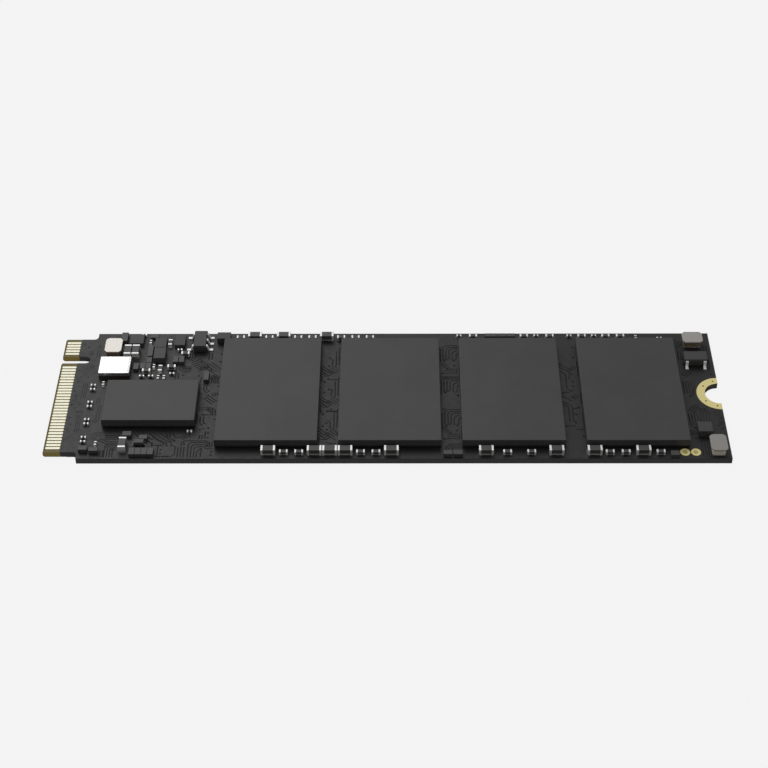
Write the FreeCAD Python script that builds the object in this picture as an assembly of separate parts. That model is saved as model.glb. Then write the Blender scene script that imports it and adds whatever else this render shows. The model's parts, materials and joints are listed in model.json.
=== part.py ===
import FreeCAD, Part
import math
import os

# Solid state drive: a bare M.2 module, 22 x 80 mm, key M, parts on the top face only.
# Frame, in mm: X runs from the edge connector (low X) to the screw notch (high X), Y across the card,
# Z up through its thickness. The origin is the middle of the underside.
# Every place below is written as (distance from the connector's leading edge, distance from the centre line).

# Card outline
LENGTH = 80.0
WIDTH = 22.0
THICKNESS = 0.8
TONGUE_WIDTH = 19.85
TONGUE_LENGTH = 4.0
SHOULDER_RADIUS = 0.5
KEY_Y = 6.125
KEY_WIDTH = 1.2
KEY_DEPTH = 3.5
SCREW_NOTCH_RADIUS = 1.75
SCREW_LAND_RADIUS = 2.75
LEAD_IN = 0.18

# Layers of the card
COPPER = 0.035
MASK = 0.025
LAMINATE_BOTTOM = COPPER
LAMINATE_TOP = THICKNESS - COPPER
MASK_TOP = LAMINATE_TOP + MASK
MASK_CLEARANCE = 0.06

# Edge contacts
CONTACT_PITCH = 0.5
CONTACT_WIDTH = 0.35
CONTACT_RADIUS = 0.12
CONTACT_START = 0.27
TOP_CONTACT_END = 1.97
BOTTOM_CONTACT_END = 2.72
TOP_MASK_START = 2.0
BOTTOM_MASK_START = 2.75
TOP_FIRST_Y = -9.25
BOTTOM_FIRST_Y = -9.0
TOP_CONTACTS = list(range(29)) + list(range(33, 38))
BOTTOM_CONTACTS = list(range(29)) + list(range(33, 37))

# Gold land round the screw notch, and the round test pads
LAND_HOLE_RING = 2.22
LAND_HOLE_ANGLES = (104, 144, -144, -104)
LAND_HOLE_RADIUS = 0.11
TEST_PADS = ((74.65, -9.95), (75.9, -9.95))
TEST_PAD_RADIUS = 0.58
TEST_PAD_DIMPLE = 0.34
TEST_PAD_DIMPLE_DEPTH = 0.03

# Ball grid packages: (x, y) centre, size along x and y, height of the top above the card
BALL_HEIGHT = 0.16
SUBSTRATE = 0.2
CONTROLLER = dict(at=(11.93, -2.35), size=(11.0, 7.0), top=1.25)
CONTROLLER_BALLS = dict(pitch=0.8, count=(13, 8), radius=0.2)
CONTROLLER_DIE = (6.2, 4.4, 0.3)
FLASH_COUNT = 4
FLASH_FIRST = 25.95
FLASH_PITCH = 14.45
FLASH_Y = -0.17
FLASH_SIZE = (12.0, 18.0)
FLASH_TOP = 1.2
FLASH_BALLS = dict(pitch=1.0, count=(11, 12), radius=0.24)
FLASH_DIE = (8.6, 11.4, 0.12)
FLASH_DIES = 4
FLASH_DIE_STEP = 0.35
MOULD_EDGE = 0.05

# Oscillator
OSCILLATOR = dict(at=(6.85, 4.22), size=(3.8, 3.1), top=0.95)
OSCILLATOR_BASE = 0.5
OSCILLATOR_LID_INSET = 0.06
OSCILLATOR_LID_SLOPE = (0.24, 0.035)
OSCILLATOR_CAVITY = (2.9, 2.2, 0.3)
CRYSTAL = (2.4, 1.6, 0.08)

# Inductors: (x, y) centre and size of the top flange
INDUCTORS = (
    dict(at=(6.32, 7.66), size=(2.1, 2.6)),
    dict(at=(77.76, 9.07), size=(2.5, 1.94)),
    dict(at=(78.5, -9.41), size=(1.96, 2.66)),
)
INDUCTOR_HEIGHT = 1.1
INDUCTOR_FLANGE = 0.15
INDUCTOR_FOOT = 0.1
INDUCTOR_CHAMFER = 0.32
INDUCTOR_OVERHANG = 0.2
INDUCTOR_POST = 0.9

# Leaded packages
LEAD_WIDTH = 0.34
LEAD_PITCH = 1.09
LEAD_THICKNESS = 0.12
LEAD_BURIED = 0.3
LEAD_SHOULDER = 0.14
LEAD_FOOT = 0.42
LEAD_BELOW_TOP = 0.26
MOULD_DRAFT = 0.07
REGULATOR = dict(at=(16.9, 9.0), size=(1.62, 2.96), top=1.0, span=3.2)
LOAD_SWITCH = dict(at=(77.74, 5.7), size=(1.66, 2.94), top=1.05, span=2.96)
SUPERVISOR = dict(at=(11.14, -8.54), size=(1.24, 0.74), top=0.5)

# Chip capacitors: length, width, height, termination length
LARGE = (1.7, 0.88, 0.85, 0.24)
MEDIUM = (1.02, 0.5, 0.5, 0.2)
SMALL = (0.62, 0.31, 0.3, 0.17)
CAP_WRAP = 0.02
CHIP_EDGE = 0.04
SOLDER_TOE = 0.09

# Capacitor rows along both long edges of the card
NEAR_ROW_START = 26.29
NEAR_ROW_PITCH = 1.789
NEAR_ROW_KINDS = "LMMLLLMML"
NEAR_LARGE_Y = -10.05
NEAR_MEDIUM_Y = -10.2
NEAR_LARGE_X = (51.59, 59.74, 64.16, 69.78)
NEAR_MEDIUM_X = (54.05, 56.84, 65.91, 67.76, 71.79)
FAR_ROW_START = 21.82
FAR_ROW_PITCH = 1.785
FAR_ROW_KINDS = "MLMLMMLMMM"
FAR_LARGE_Y = 10.0
FAR_MEDIUM_Y = 9.9
FAR_RIGHT_MEDIUM_X = (50.72, 57.04, 60.23, 64.22, 67.18, 69.0)
FAR_RIGHT_MEDIUM_Y = 10.13
FAR_RIGHT_SMALL_X = (48.98, 58.56, 62.68, 65.75)
FAR_RIGHT_SMALL_Y = 10.36

# Other capacitors: (x, y, turn), where turn 0 lies along X and turn 90 along Y
OTHER_LARGE = ((8.07, 7.19, 90), (9.05, 7.19, 90), (9.27, -9.08, 90))
OTHER_MEDIUM = (
    (10.67, 3.8, 0),
    (12.35, 4.17, 90),
    (13.7, 4.5, 0),
    (13.15, 8.93, 90),
    (15.19, 6.94, 0),
)
OTHER_SMALL = (
    (9.74, 10.52, 0),
    (10.67, 9.22, 90),
    (10.19, 2.97, 0),
    (11.29, 2.97, 0),
    (11.51, 4.74, 90),
    (12.21, 2.73, 90),
    (12.91, 2.73, 90),
    (13.83, 3.42, 0),
    (14.43, 7.76, 0),
    (16.88, -6.66, 0),
    (6.05, -8.69, 90),
    (5.7, 1.62, 90),
    (70.94, 10.06, 90),
    (73.83, 9.86, 0),
)

# Coupling capacitors: four pairs, one for each data lane of the connector
LANES = 4
COUPLING_X = 4.53
COUPLING_FIRST_Y = 0.97
LANE_PITCH = 2.99
COUPLING_HALF_GAP = 0.36

# Leadless chips: (low x, high x, low y, high y, height)
POWER_CHIP = (11.37, 12.81, 5.56, 7.55, 0.8)
MEMORY_CHIP = (76.47, 78.16, -7.42, -5.78, 0.9)
LOGIC_CHIPS = (
    (8.1, 9.81, 8.63, 10.33, 0.5),
    (11.26, 12.7, 7.93, 9.73, 0.5),
    (13.7, 14.99, 8.33, 10.23, 0.5),
    (18.93, 20.6, 9.19, 10.38, 0.8),
)
CHIP_RESISTORS = (
    (6.99, 7.79, 9.05, 10.65, 0.55),
    (10.53, 11.57, 9.9, 10.45, 0.35),
    (10.51, 11.18, 6.3, 8.33, 0.5),
    (10.51, 11.18, 5.2, 6.25, 0.4),
    (9.84, 10.47, 4.16, 5.14, 0.4),
    (10.51, 11.18, 4.16, 5.14, 0.4),
    (9.02, 9.67, 4.01, 5.11, 0.4),
    (13.76, 14.42, 5.31, 6.42, 0.4),
    (14.48, 15.13, 5.31, 6.42, 0.4),
    (17.78, 18.42, 2.01, 3.56, 0.45),
    (4.19, 5.23, -10.02, -9.3, 0.5),
    (5.43, 6.53, -10.2, -9.58, 0.5),
    (9.04, 10.12, -7.58, -6.84, 0.45),
    (11.05, 12.04, -8.14, -7.48, 0.45),
    (72.9, 73.9, -10.9, -10.15, 0.5),
    (46.62, 47.65, -10.7, -10.0, 0.45),
    (47.8, 48.86, -10.7, -10.0, 0.45),
    (52.16, 53.78, 9.99, 10.59, 0.4),
    (53.84, 54.85, 9.99, 10.59, 0.4),
    (54.91, 55.95, 9.99, 10.59, 0.4),
)
NETWORK_COUNT = 4
NETWORK_FIRST = 10.1
NETWORK_PITCH = 0.725
NETWORK_WIDTH = 0.71
NETWORK_Y = (-10.7, -9.6)
NETWORK_HEIGHT = 0.45

CARD_TOP = MASK_TOP
SOLDER = 0.01
SEAT = CARD_TOP + SOLDER


def vec(x, y, z=0.0):
    """A point given by its distance from the connector's leading edge and from the centre line."""
    return FreeCAD.Vector(x - LENGTH / 2, y, z)


def save(name, shape):
    shape.exportStep("parts/" + name + ".step")


def group(solids):
    return Part.makeCompound(solids)


def block(low_x, high_x, low_y, high_y, low_z, high_z):
    return Part.makeBox(high_x - low_x, high_y - low_y, high_z - low_z, vec(low_x, low_y, low_z))


def centred_block(at, size_x, size_y, low_z, high_z):
    x, y = at
    return block(x - size_x / 2, x + size_x / 2, y - size_y / 2, y + size_y / 2, low_z, high_z)


def edges_above(solid, height):
    """The edges of a solid that lie wholly above a height or rise past it."""
    return [edge for edge in solid.Edges if edge.BoundBox.ZMax > height]


def soften(solid, radius, height):
    """Rounds every edge that reaches above the given height."""
    return solid.makeFillet(radius, edges_above(solid, height))


def disc(at, radius, low_z, high_z):
    return Part.makeCylinder(radius, high_z - low_z, vec(at[0], at[1], low_z))


def outline():
    """The card's outline as one closed wire in the plane z = 0."""
    half = WIDTH / 2
    tongue = TONGUE_WIDTH / 2
    shoulder = TONGUE_LENGTH
    round_by = SHOULDER_RADIUS
    slant = round_by * math.sqrt(0.5)
    key_r = KEY_WIDTH / 2
    key_end = KEY_DEPTH - key_r
    notch = SCREW_NOTCH_RADIUS

    def line(a, b):
        return Part.LineSegment(vec(*a), vec(*b)).toShape()

    def arc(a, middle, b):
        return Part.Arc(vec(*a), vec(*middle), vec(*b)).toShape()

    def shoulder_arc(side):
        """The inside corner where the tongue meets the wider card."""
        centre_x = shoulder - round_by
        centre_y = side * (tongue + round_by)
        middle = (centre_x + slant, centre_y - side * slant)
        return (centre_x, side * tongue), middle, (shoulder, centre_y)

    near = shoulder_arc(-1)
    far = shoulder_arc(1)
    edges = [
        line((0, -tongue), near[0]),
        arc(*near),
        line(near[2], (shoulder, -half)),
        line((shoulder, -half), (LENGTH, -half)),
        line((LENGTH, -half), (LENGTH, -notch)),
        arc((LENGTH, -notch), (LENGTH - notch, 0), (LENGTH, notch)),
        line((LENGTH, notch), (LENGTH, half)),
        line((LENGTH, half), (shoulder, half)),
        line((shoulder, half), far[2]),
        arc(far[2], far[1], far[0]),
        line(far[0], (0, tongue)),
        line((0, tongue), (0, KEY_Y + key_r)),
        line((0, KEY_Y + key_r), (key_end, KEY_Y + key_r)),
        arc((key_end, KEY_Y + key_r), (KEY_DEPTH, KEY_Y), (key_end, KEY_Y - key_r)),
        line((key_end, KEY_Y - key_r), (0, KEY_Y - key_r)),
        line((0, KEY_Y - key_r), (0, -tongue)),
    ]
    return Part.Wire(edges)


def layer(low_z, high_z):
    """One layer of the card, with the full outline."""
    sheet = Part.Face(outline()).extrude(FreeCAD.Vector(0, 0, high_z - low_z))
    sheet.translate(FreeCAD.Vector(0, 0, low_z))
    return sheet


def lead_in_wedge(edge_z, inward):
    """A wedge along the leading edge, cut off so that the card slides into its socket."""
    corner = [
        vec(0, -WIDTH / 2, edge_z),
        vec(LEAD_IN, -WIDTH / 2, edge_z),
        vec(0, -WIDTH / 2, edge_z + inward * LEAD_IN),
    ]
    return Part.Face(Part.makePolygon(corner + corner[:1])).extrude(FreeCAD.Vector(0, WIDTH, 0))


def circuit_board():
    core = layer(LAMINATE_BOTTOM, LAMINATE_TOP)
    return core.cut([lead_in_wedge(LAMINATE_TOP, -1), lead_in_wedge(LAMINATE_BOTTOM, 1)])


def solder_mask(low_z, high_z, start, pads):
    """A mask layer from the end of the contacts to the screw end, open over the bare gold."""
    openings = [block(-1, start, -WIDTH, WIDTH, low_z, high_z)]
    openings.append(disc((LENGTH, 0), SCREW_LAND_RADIUS + MASK_CLEARANCE, low_z, high_z))
    for pad in pads:
        openings.append(disc(pad, TEST_PAD_RADIUS + MASK_CLEARANCE, low_z, high_z))
    return layer(low_z, high_z).cut(openings)


def edge_contacts(first_y, places, end, low_z):
    """A row of gold contacts with rounded corners, as separate solids."""
    x = (CONTACT_START + end) / 2
    pad = centred_block((x, 0), end - CONTACT_START, CONTACT_WIDTH, low_z, low_z + COPPER)
    upright = [edge for edge in pad.Edges if edge.BoundBox.ZLength > COPPER / 2]
    pad = pad.makeFillet(CONTACT_RADIUS, upright)
    shift = [FreeCAD.Vector(0, first_y + place * CONTACT_PITCH, 0) for place in places]
    return group([pad.translated(step) for step in shift])


def mounting_land(low_z):
    """The half ring of gold round the screw notch, with four small via holes."""
    outer = disc((LENGTH, 0), SCREW_LAND_RADIUS, low_z, low_z + COPPER)
    tools = [
        disc((LENGTH, 0), SCREW_NOTCH_RADIUS, low_z, low_z + COPPER),
        block(LENGTH, LENGTH + WIDTH, -WIDTH, WIDTH, low_z, low_z + COPPER),
    ]
    for angle in LAND_HOLE_ANGLES:
        turn = math.radians(angle)
        x = LENGTH + LAND_HOLE_RING * math.cos(turn)
        y = LAND_HOLE_RING * math.sin(turn)
        tools.append(disc((x, y), LAND_HOLE_RADIUS, low_z, low_z + COPPER))
    return outer.cut(tools)


def test_pads():
    """Round gold pads with a shallow dished dimple in the middle."""
    depth = TEST_PAD_DIMPLE_DEPTH
    ball = (TEST_PAD_DIMPLE ** 2 + depth ** 2) / (2 * depth)
    pads = []
    for x, y in TEST_PADS:
        pad = disc((x, y), TEST_PAD_RADIUS, LAMINATE_TOP, THICKNESS)
        pads.append(pad.cut(Part.makeSphere(ball, vec(x, y, THICKNESS - depth + ball))))
    return group(pads)


def solder_balls(at, pitch, count, radius):
    """A grid of solder balls, each flattened between the card and the package above it."""
    centre_z = CARD_TOP + BALL_HEIGHT / 2
    cut_angle = math.degrees(math.asin(BALL_HEIGHT / 2 / radius))
    ball = Part.makeSphere(radius, FreeCAD.Vector(), FreeCAD.Vector(0, 0, 1), -cut_angle, cut_angle, 360)
    balls = []
    for column in range(count[0]):
        for row in range(count[1]):
            x = at[0] + (column - (count[0] - 1) / 2) * pitch
            y = at[1] + (row - (count[1] - 1) / 2) * pitch
            balls.append(ball.translated(vec(x, y, centre_z)))
    return group(balls)


def die_stack(at, size, dies, step):
    """Silicon dies on the substrate, each shifted so that its bonding edge stays free."""
    low = CARD_TOP + BALL_HEIGHT + SUBSTRATE
    stack = []
    for level in range(dies):
        x = at[0] + (level - (dies - 1) / 2) * step
        floor = low + level * size[2]
        stack.append(centred_block((x, at[1]), size[0], size[1], floor, floor + size[2]))
    return stack


def ball_grid_package(name, at, size, top, balls, stack):
    """A package on solder balls: a thin substrate, dies on it, and black mould over both."""
    low = CARD_TOP + BALL_HEIGHT
    joint = low + SUBSTRATE
    save(name + "_solder_balls", solder_balls(at, **balls))
    save(name + "_substrate", centred_block(at, size[0], size[1], low, joint))
    cover = centred_block(at, size[0], size[1], joint, THICKNESS + top)
    cover = soften(cover, MOULD_EDGE, joint + MOULD_EDGE)
    save(name + "_mould", cover.cut(stack))


def oscillator():
    """A ceramic base with a cavity, the quartz crystal in it, and a bright metal lid that seals it."""
    at = OSCILLATOR["at"]
    size_x, size_y = OSCILLATOR["size"]
    rim = SEAT + OSCILLATOR_BASE
    cavity_x, cavity_y, depth = OSCILLATOR_CAVITY
    base = centred_block(at, size_x, size_y, SEAT, rim)
    upright = [edge for edge in base.Edges if edge.BoundBox.ZLength > OSCILLATOR_BASE / 2]
    base = base.makeFillet(0.15, upright)
    save("oscillator_base", base.cut(centred_block(at, cavity_x, cavity_y, rim - depth, rim)))
    save("oscillator_crystal", centred_block(at, CRYSTAL[0], CRYSTAL[1], rim - depth, rim - depth + CRYSTAL[2]))
    inset = 2 * OSCILLATOR_LID_INSET
    slope, drop = OSCILLATOR_LID_SLOPE
    top = THICKNESS + OSCILLATOR["top"]
    lid = centred_block(at, size_x - inset, size_y - inset, rim, top - drop)
    upright = [edge for edge in lid.Edges if edge.BoundBox.ZLength > (top - rim) / 2]
    lid = lid.makeFillet(0.1, upright)
    foot = level_rectangle(at, size_x - inset - 0.08, size_y - inset - 0.08, top - drop)
    crown = level_rectangle(at, size_x - inset - 2 * slope, size_y - inset - 2 * slope, top)
    save("oscillator_lid", lid.fuse(Part.makeLoft([foot, crown], True)).removeSplitter())


def level_rectangle(at, size_x, size_y, z):
    x0, x1 = at[0] - size_x / 2, at[0] + size_x / 2
    y0, y1 = at[1] - size_y / 2, at[1] + size_y / 2
    corners = [vec(x0, y0, z), vec(x1, y0, z), vec(x1, y1, z), vec(x0, y1, z)]
    return Part.makePolygon(corners + corners[:1])


def chamfered_block(at, size_x, size_y, low_z, high_z, corner):
    solid = centred_block(at, size_x, size_y, low_z, high_z)
    upright = [edge for edge in solid.Edges if edge.BoundBox.ZLength > (high_z - low_z) / 2]
    return solid.makeChamfer(corner, upright)


def inductor(name, at, size):
    """A drum core: a wide top flange, a round post and a foot, with the winding round the post."""
    top = THICKNESS + INDUCTOR_HEIGHT
    under_flange = top - INDUCTOR_FLANGE
    foot_low = SEAT + 0.03
    foot_top = foot_low + INDUCTOR_FOOT
    inner_x = size[0] - 2 * INDUCTOR_OVERHANG
    inner_y = size[1] - 2 * INDUCTOR_OVERHANG
    flange = chamfered_block(at, size[0], size[1], under_flange, top, INDUCTOR_CHAMFER)
    flange = flange.makeFillet(0.05, [edge for edge in flange.Edges if edge.BoundBox.ZMin > top - 0.01])
    foot = chamfered_block(at, inner_x, inner_y, foot_low, foot_top, INDUCTOR_CHAMFER / 2)
    post = disc(at, INDUCTOR_POST / 2, foot_top, under_flange)
    save(name + "_core", flange.fuse([post, foot]).removeSplitter())
    winding = centred_block(at, inner_x, inner_y, foot_top, under_flange)
    upright = [edge for edge in winding.Edges if edge.BoundBox.ZLength > (under_flange - foot_top) / 2]
    save(name + "_winding", winding.makeFillet(0.25, upright).cut(post))
    along_y = size[1] > size[0]
    pads = []
    for side in (-1, 1):
        reach = side * (inner_y if along_y else inner_x) * 0.36
        place = (at[0], at[1] + reach) if along_y else (at[0] + reach, at[1])
        pad_x = inner_x * 0.9 if along_y else inner_x * 0.26
        pad_y = inner_y * 0.26 if along_y else inner_y * 0.9
        pads.append(centred_block(place, pad_x, pad_y, CARD_TOP, foot_low))
    save(name + "_terminals", group(pads))


def drafted_body(at, size_x, size_y, low_z, high_z, parting_z):
    """A moulded body that is widest at its parting line and tapers above and below it."""

    def section(shrink, z):
        return level_rectangle(at, size_x - 2 * shrink, size_y - 2 * shrink, z)

    lower = Part.makeLoft([section(MOULD_DRAFT, low_z), section(0, parting_z)], True)
    upper = Part.makeLoft([section(0, parting_z), section(MOULD_DRAFT, high_z)], True)
    body = lower.fuse(upper).removeSplitter()
    return body.makeFillet(0.03, [edge for edge in body.Edges if edge.BoundBox.ZMin > high_z - 0.01])


def gull_wing(wall, reach, exit_z, width, thickness, shoulder, foot):
    """A bent lead along +X from inside a body, down a slanted leg to its foot, centred on y = 0."""
    half = thickness / 2
    knee = wall + shoulder
    heel = reach - foot
    profile = [
        (wall - LEAD_BURIED, exit_z + half),
        (knee, exit_z + half),
        (heel, SEAT + thickness),
        (reach, SEAT + thickness),
        (reach, SEAT),
        (heel - thickness, SEAT),
        (knee - thickness, exit_z - half),
        (wall - LEAD_BURIED, exit_z - half),
    ]
    points = [FreeCAD.Vector(x, -width / 2, z) for x, z in profile]
    lead = Part.Face(Part.makePolygon(points + points[:1])).extrude(FreeCAD.Vector(0, width, 0))
    bends = {(1, "outer"), (5, "outer"), (2, "inner"), (6, "inner")}
    for corner, side in sorted(bends):
        x, z = profile[corner]
        radius = thickness * (0.9 if side == "outer" else 0.4)
        edge = [
            e for e in lead.Edges
            if e.BoundBox.YLength > width / 2
            and abs(e.BoundBox.XMin - x) < 0.001
            and abs(e.BoundBox.ZMin - z) < 0.001
        ]
        lead = lead.makeFillet(radius, edge)
    return lead


def placed(lead, at, turn, offset):
    """A lead turned about the package's centre and moved along the package's side."""
    copy = lead.translated(FreeCAD.Vector(0, offset, 0))
    copy.rotate(FreeCAD.Vector(), FreeCAD.Vector(0, 0, 1), turn)
    copy.translate(vec(at[0], at[1]))
    return copy


def leaded_package(name, at, size, top, span, turn):
    """A five-lead package: two leads on one side, three on the other."""
    low = SEAT + 0.06
    high = THICKNESS + top
    exit_z = high - LEAD_BELOW_TOP
    lead = gull_wing(size[0] / 2, span / 2, exit_z, LEAD_WIDTH, LEAD_THICKNESS, LEAD_SHOULDER, LEAD_FOOT)
    leads = [placed(lead, at, turn + 180, offset) for offset in (-LEAD_PITCH, LEAD_PITCH)]
    leads += [placed(lead, at, turn, offset) for offset in (-LEAD_PITCH, 0, LEAD_PITCH)]
    size_x, size_y = size if turn == 0 else (size[1], size[0])
    body = drafted_body(at, size_x, size_y, low, high, exit_z)
    save(name + "_body", body.cut(leads))
    save(name + "_leads", group(leads))


def supervisor():
    """A very small four-lead package."""
    at = SUPERVISOR["at"]
    size_x, size_y = SUPERVISOR["size"]
    low = SEAT + 0.02
    high = THICKNESS + SUPERVISOR["top"]
    exit_z = low + 0.14
    lead = gull_wing(size_x / 2, size_x / 2 + 0.19, exit_z, 0.14, 0.05, 0.05, 0.09)
    leads = []
    for turn in (0, 180):
        for offset in (-0.22, 0.22):
            leads.append(placed(lead, at, turn, offset))
    save("supervisor_body", drafted_body(at, size_x, size_y, low, high, exit_z).cut(leads))
    save("supervisor_leads", group(leads))


def leadless_chip(low_x, high_x, low_y, high_y, height):
    chip = block(low_x, high_x, low_y, high_y, SEAT, THICKNESS + height)
    return soften(chip, CHIP_EDGE, SEAT + CHIP_EDGE)


def chip_capacitor(size):
    """One chip capacitor along X at the origin: (ceramic body, two terminations, two solder joints)."""
    length, width, height, ends = size
    top = SEAT + height
    inner = length - 2 * CAP_WRAP
    body = Part.makeBox(
        inner,
        width - 2 * CAP_WRAP,
        height - 2 * CAP_WRAP,
        FreeCAD.Vector(-inner / 2, -width / 2 + CAP_WRAP, SEAT + CAP_WRAP),
    )
    core = body.makeFillet(CAP_WRAP, body.Edges)
    terminals = []
    joints = []
    for side in (-1, 1):
        corner = -length / 2 if side < 0 else length / 2 - ends
        cap = Part.makeBox(ends, width, height, FreeCAD.Vector(corner, -width / 2, SEAT))
        outside = side * length / 2
        outer = [
            e for e in cap.Edges
            if e.BoundBox.ZMax > SEAT + height / 2
            and abs((e.BoundBox.XMax if side > 0 else e.BoundBox.XMin) - outside) < 0.001
            or e.BoundBox.XLength > ends / 2 and e.BoundBox.ZMin > top - 0.01
        ]
        terminals.append(cap.makeFillet(CHIP_EDGE, outer).cut(core))
        toe = outside + side * SOLDER_TOE
        heel = outside - side * ends
        profile = [(heel, CARD_TOP), (toe, CARD_TOP), (outside, SEAT + height * 0.3), (outside, SEAT), (heel, SEAT)]
        points = [FreeCAD.Vector(x, -width * 0.45, z) for x, z in profile]
        joint = Part.Face(Part.makePolygon(points + points[:1])).extrude(FreeCAD.Vector(0, width * 0.9, 0))
        joints.append(joint)
    return [core], terminals, joints


def capacitor_group(name, size, places):
    """Identical capacitors at (x, y, turn): saves their bodies and terminations, returns their solder."""
    prototype = chip_capacitor(size)
    made = ([], [], [])
    for x, y, turn in places:
        for pieces, result in zip(prototype, made):
            for piece in pieces:
                copy = piece.copy()
                copy.rotate(FreeCAD.Vector(), FreeCAD.Vector(0, 0, 1), turn)
                copy.translate(vec(x, y))
                result.append(copy)
    save(name + "_bodies", group(made[0]))
    save(name + "_terminals", group(made[1]))
    return made[2]


def row_places(start, pitch, kinds, wanted, y):
    return [(start + i * pitch, y, 0) for i, kind in enumerate(kinds) if kind == wanted]


def capacitor_places():
    """(large, medium, small) capacitor places, from the edge rows and the loose ones."""
    near = (NEAR_ROW_START, NEAR_ROW_PITCH, NEAR_ROW_KINDS)
    far = (FAR_ROW_START, FAR_ROW_PITCH, FAR_ROW_KINDS)
    large = row_places(*near, "L", NEAR_LARGE_Y) + row_places(*far, "L", FAR_LARGE_Y)
    large += [(x, NEAR_LARGE_Y, 0) for x in NEAR_LARGE_X]
    medium = row_places(*near, "M", NEAR_MEDIUM_Y) + row_places(*far, "M", FAR_MEDIUM_Y)
    medium += [(x, NEAR_MEDIUM_Y, 0) for x in NEAR_MEDIUM_X]
    medium += [(x, FAR_RIGHT_MEDIUM_Y, 0) for x in FAR_RIGHT_MEDIUM_X]
    small = [(x, FAR_RIGHT_SMALL_Y, 0) for x in FAR_RIGHT_SMALL_X]
    return large + list(OTHER_LARGE), medium + list(OTHER_MEDIUM), small + list(OTHER_SMALL)


def coupling_places():
    places = []
    for lane in range(LANES):
        middle = COUPLING_FIRST_Y - lane * LANE_PITCH
        for side in (-1, 1):
            places.append((COUPLING_X, middle + side * COUPLING_HALF_GAP, 0))
    return places


def under_solder(at, size_x, size_y):
    """The thin solder under a leadless chip or a lead's foot."""
    return centred_block(at, size_x, size_y, CARD_TOP, SEAT)


def chip_solder(low_x, high_x, low_y, high_y, height):
    """Two strips of solder under the ends of a leadless chip."""
    along_y = high_y - low_y > high_x - low_x
    middle = ((low_x + high_x) / 2, (low_y + high_y) / 2)
    size_x, size_y = high_x - low_x, high_y - low_y
    strips = []
    for side in (-1, 1):
        if along_y:
            place = (middle[0], middle[1] + side * size_y * 0.36)
            strips.append(under_solder(place, size_x * 0.9, size_y * 0.22))
        else:
            place = (middle[0] + side * size_x * 0.36, middle[1])
            strips.append(under_solder(place, size_x * 0.22, size_y * 0.9))
    return strips


def network_chips():
    chips = []
    for i in range(NETWORK_COUNT):
        low = NETWORK_FIRST + i * NETWORK_PITCH
        chips.append((low, low + NETWORK_WIDTH, NETWORK_Y[0], NETWORK_Y[1], NETWORK_HEIGHT))
    return chips


def main():
    os.makedirs("parts", exist_ok=True)

    save("circuit_board", circuit_board())
    save("solder_mask_top", solder_mask(LAMINATE_TOP, MASK_TOP, TOP_MASK_START, TEST_PADS))
    save("solder_mask_bottom", solder_mask(0, LAMINATE_BOTTOM, BOTTOM_MASK_START, ()))
    save("edge_contacts_top", edge_contacts(TOP_FIRST_Y, TOP_CONTACTS, TOP_CONTACT_END, LAMINATE_TOP))
    save("edge_contacts_bottom", edge_contacts(BOTTOM_FIRST_Y, BOTTOM_CONTACTS, BOTTOM_CONTACT_END, 0))
    save("mounting_land_top", mounting_land(LAMINATE_TOP))
    save("mounting_land_bottom", mounting_land(0))
    save("test_pads", test_pads())

    die = die_stack(CONTROLLER["at"], CONTROLLER_DIE, 1, 0)
    save("controller_die", group(die))
    ball_grid_package("controller", balls=CONTROLLER_BALLS, stack=die, **CONTROLLER)
    for number in range(FLASH_COUNT):
        name = "flash_%d" % (number + 1)
        at = (FLASH_FIRST + number * FLASH_PITCH, FLASH_Y)
        stack = die_stack(at, FLASH_DIE, FLASH_DIES, FLASH_DIE_STEP)
        save(name + "_dies", group(stack))
        ball_grid_package(name, at, FLASH_SIZE, FLASH_TOP, FLASH_BALLS, stack)

    oscillator()
    for number, coil in enumerate(INDUCTORS):
        inductor("inductor_%d" % (number + 1), **coil)
    leaded_package("regulator", turn=0, **REGULATOR)
    leaded_package("load_switch", turn=90, **LOAD_SWITCH)
    supervisor()

    save("power_management_chip", leadless_chip(*POWER_CHIP))
    save("configuration_memory", leadless_chip(*MEMORY_CHIP))
    save("logic_chips", group([leadless_chip(*chip) for chip in LOGIC_CHIPS]))
    resistors = list(CHIP_RESISTORS) + network_chips()
    save("chip_resistors", group([leadless_chip(*chip) for chip in resistors]))

    large, medium, small = capacitor_places()
    joints = capacitor_group("large_capacitor", LARGE, large)
    joints += capacitor_group("medium_capacitor", MEDIUM, medium)
    joints += capacitor_group("small_capacitor", SMALL, small)
    joints += capacitor_group("coupling_capacitor", SMALL, coupling_places())
    for chip in [POWER_CHIP, MEMORY_CHIP] + list(LOGIC_CHIPS) + resistors:
        joints += chip_solder(*chip)
    save("solder_joints", group(joints))


main()
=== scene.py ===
import json
import math

import bpy
from mathutils import Matrix, Vector


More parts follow.
